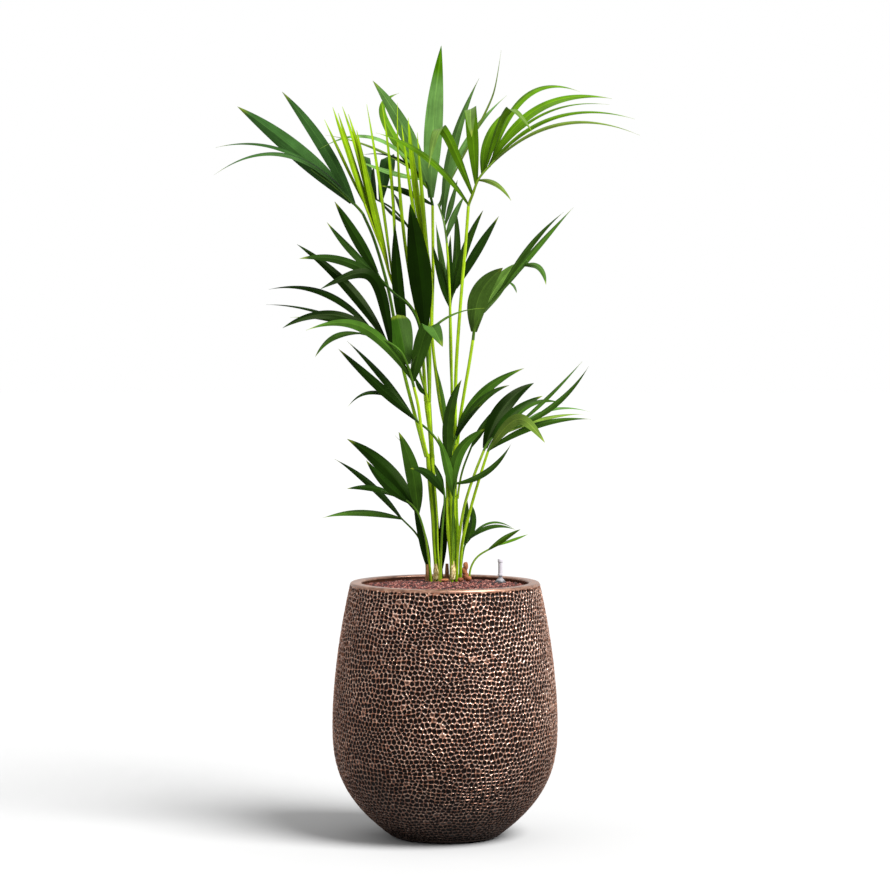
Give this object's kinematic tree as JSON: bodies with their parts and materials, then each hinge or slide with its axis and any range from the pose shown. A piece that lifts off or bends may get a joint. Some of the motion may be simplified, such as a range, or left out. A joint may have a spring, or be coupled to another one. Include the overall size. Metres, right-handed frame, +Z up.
{
  "type": "potted kentia palm",
  "caption": "Kentia palm with upright clustered stems and arching fronds, standing in a tall egg-shaped dimpled planter filled with clay granules.",
  "frame": {"origin": "centre of the planter's flat underside, on the floor", "axes": "+Z up along the planter's axis, -Y toward the front, +X to the viewer's right"},
  "size_m": [0.9282, 0.5812, 1.7446],
  "materials": {
    "planter": "dimpled bronze-brown glaze with near-black pits",
    "growing_medium": "dark damp growing medium",
    "granule_bed": "matt red-brown clay granules",
    "clay": "matt terracotta",
    "gauge_tube": "milky clear plastic",
    "gauge_fitting": "dark grey plastic",
    "stem": "smooth green sheathed stem",
    "stalk": "smooth light green stalk",
    "old_sheath": "dry brown sheath",
    "young_leaf": "satin yellow-green young leaf",
    "leaf": "satin deep green leaf"
  },
  "bodies": {
    "root": {"arching_right_frond": "leaf", "arching_right_stalk": "stalk", "back_left_frond": "leaf", "back_left_stalk": "stalk", "broad_dark_leaf": "leaf", "centre_frond": "leaf", "clay_piece_1": "clay", "clay_piece_2": "clay", "clay_piece_3": "clay", "clay_piece_4": "clay", "dark_fan_frond": "leaf", "dark_fan_stalk": "stalk", "far_left": "leaf", "far_right": "leaf", "front_centre": "leaf", "front_dark": "leaf", "gauge_collar": "gauge_fitting", "gauge_nut": "gauge_fitting", "gauge_tube": "gauge_tube", "granule_bed": "granule_bed", "growing_medium": "growing_medium", "low_dark_leaf": "leaf", "low_left": "leaf", "low_right_dark_frond": "leaf", "low_right_dark_stalk": "stalk", "low_right_frond": "leaf", "low_right_pair": "leaf", "low_right_stalk": "stalk", "lower_left_frond": "leaf", "lower_left_stalk": "stalk", "mid_left_frond": "leaf", "mid_left_stalk": "stalk", "middle_dark_leaf": "leaf", "old_stub_left": "old_sheath", "old_stub_middle": "old_sheath", "pale_back_frond": "leaf", "pale_back_stalk": "stalk", "planter": "planter", "right_frond": "leaf", "right_stalk": "stalk", "spear_left_frond": "young_leaf", "spear_left_stalk": "stalk", "spear_right": "young_leaf", "stem_left": "stem", "stem_left_upper": "stem", "stem_right": "stem", "stem_right_upper": "stem", "tall_back_frond": "leaf", "tall_back_stalk": "stalk", "thin_left_frond": "leaf", "thin_left_stalk": "stalk", "thin_right_leaf": "leaf", "upper_left_frond": "leaf", "upper_left_stalk": "stalk", "upright_dark_leaf": "leaf"}
  },
  "joints": []
}
